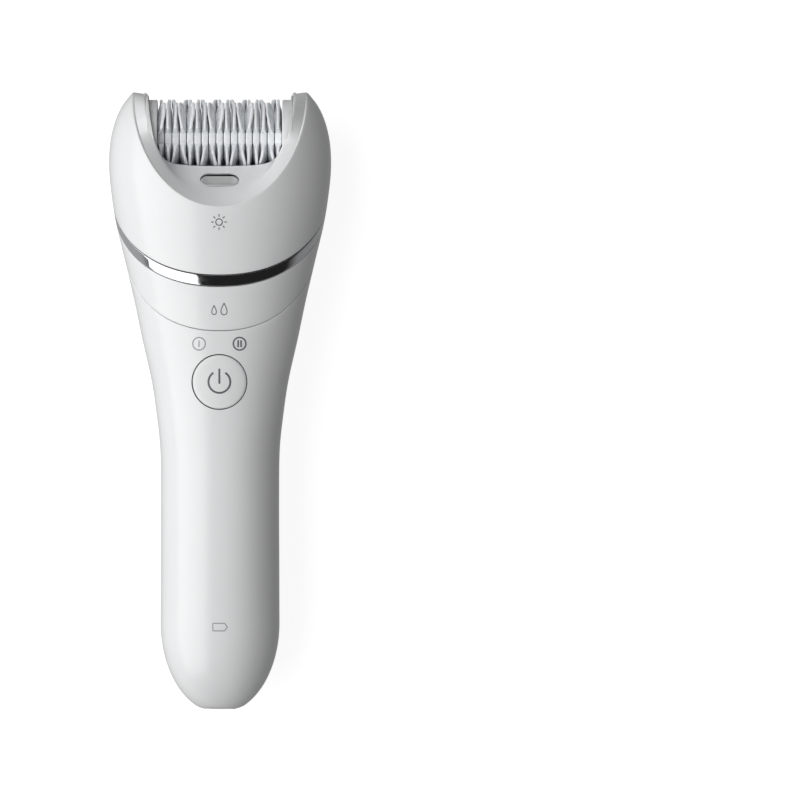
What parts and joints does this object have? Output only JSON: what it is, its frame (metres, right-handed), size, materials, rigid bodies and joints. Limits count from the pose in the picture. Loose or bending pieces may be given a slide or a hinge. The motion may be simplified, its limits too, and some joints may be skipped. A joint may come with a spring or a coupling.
{
  "type": "epilator",
  "caption": "Cordless epilator with a wide scooped head, a drum of notched ceramic discs, a chrome trim ring and a round power button.",
  "frame": {"origin": "centre of the object's footprint on the table it lies on", "axes": "+X across the body, +Y from the foot of the handle to the head, +Z out of the button face"},
  "size_m": [0.0648, 0.18, 0.0376],
  "materials": {
    "white_gloss": "high-gloss white ABS, softly grained gloss under the lacquer",
    "white_satin": "fine satin white ABS",
    "chrome": "bright chrome-plated trim",
    "ceramic_disc": "pale blue-grey glazed technical ceramic",
    "clear_lens": "frosted light guide plastic",
    "steel": "turned and stamped steel",
    "acetal_gear": "natural acetal",
    "grey_plastic": "dark grey moulded plastic",
    "seal_rubber": "black silicone rubber",
    "cell_sleeve": "blue shrink sleeve",
    "board_green": "green solder mask",
    "gold_contact": "gold-plated brass pin"
  },
  "bodies": {
    "handle": {"front_shell": "white_gloss", "back_shell": "white_gloss", "neck_collar": "white_gloss", "chrome_ring": "chrome", "neck_plug": "grey_plastic", "neck_seal": "seal_rubber", "chassis": "grey_plastic", "battery_cell": "cell_sleeve", "motor_can": "steel", "gearbox_plate": "steel", "gear_pin": "steel", "circuit_board": "board_green", "power_switch": "grey_plastic", "light_guide": "clear_lens", "battery_light_guide": "clear_lens", "charge_socket": "grey_plastic", "charge_pin_left": "gold_contact", "charge_pin_right": "gold_contact", "button_membrane": "seal_rubber", "release_spring": "steel"},
    "button": {"power_button": "white_satin"},
    "release": {"release_button": "white_satin"},
    "motor_rotor": {"motor_pinion": "steel"},
    "reduction": {"reduction_gear": "acetal_gear"},
    "drive": {"output_gear": "acetal_gear", "drive_shaft": "steel"},
    "head": {"head_shell": "white_gloss", "head_insert": "white_gloss", "light_lens": "clear_lens", "head_base": "grey_plastic", "gear_plate": "steel", "layshaft_bearing": "grey_plastic", "axle_bush_left": "steel", "axle_bush_right": "steel", "disc_side_cover_left": "white_satin", "disc_side_cover_right": "white_satin"},
    "drum": {"disc_01": "ceramic_disc", "disc_02": "ceramic_disc", "disc_03": "ceramic_disc", "disc_04": "ceramic_disc", "disc_05": "ceramic_disc", "disc_06": "ceramic_disc", "disc_07": "ceramic_disc", "disc_08": "ceramic_disc", "disc_09": "ceramic_disc", "disc_10": "ceramic_disc", "disc_11": "ceramic_disc", "disc_12": "ceramic_disc", "disc_13": "ceramic_disc", "disc_14": "ceramic_disc", "disc_15": "ceramic_disc", "disc_16": "ceramic_disc", "disc_17": "ceramic_disc", "drum_axle": "steel", "drum_gear": "acetal_gear"},
    "idler": {"idler_gear": "acetal_gear"},
    "lay": {"layshaft": "steel", "lay_spur_gear": "acetal_gear", "lay_bevel_gear": "acetal_gear"},
    "coupling": {"input_coupling": "acetal_gear"}
  },
  "joints": [
    {"name": "power_press", "type": "slide", "parent": "handle", "child": "button", "axis": [0, 0, -1], "range_m": [0, 0.0008], "stiffness_N_per_m": 1500},
    {"name": "release_press", "type": "slide", "parent": "handle", "child": "release", "axis": [0, 0, 1], "range_m": [0, 0.0008], "stiffness_N_per_m": 1500, "deforming": ["release_spring"]},
    {"name": "head_pull", "type": "slide", "parent": "handle", "child": "head", "axis": [0, 1, 0], "range_m": [0, 0.03]},
    {"name": "drum_spin", "type": "hinge", "parent": "head", "child": "drum", "pos_m": [0, 0.0775, 0.0185], "axis": [1, 0, 0], "continuous": true},
    {"name": "idler_spin", "type": "hinge", "parent": "head", "child": "idler", "pos_m": [-0.0247, 0.06797, 0.01485], "axis": [1, 0, 0], "continuous": true},
    {"name": "lay_spin", "type": "hinge", "parent": "head", "child": "lay", "pos_m": [0, 0.0596, 0.0155], "axis": [1, 0, 0], "continuous": true},
    {"name": "coupling_spin", "type": "hinge", "parent": "head", "child": "coupling", "pos_m": [0, 0.05, 0.0155], "axis": [0, 1, 0], "continuous": true},
    {"name": "drive_spin", "type": "hinge", "parent": "handle", "child": "drive", "pos_m": [0, 0.03, 0.0155], "axis": [0, 1, 0], "continuous": true},
    {"name": "reduction_spin", "type": "hinge", "parent": "handle", "child": "reduction", "pos_m": [0.009, 0.03, 0.0155], "axis": [0, 1, 0], "continuous": true},
    {"name": "motor_spin", "type": "hinge", "parent": "handle", "child": "motor_rotor", "pos_m": [0, 0.0275, 0.0155], "axis": [0, 1, 0], "continuous": true}
  ],
  "couplings": [
    {"joint": "idler_spin", "follows": "drum_spin", "ratio": -1.125},
    {"joint": "lay_spin", "follows": "drum_spin", "ratio": 1.5},
    {"joint": "coupling_spin", "follows": "drum_spin", "ratio": -1.5},
    {"joint": "drive_spin", "follows": "drum_spin", "ratio": -1.5},
    {"joint": "reduction_spin", "follows": "drum_spin", "ratio": 3},
    {"joint": "motor_spin", "follows": "drum_spin", "ratio": -6}
  ]
}
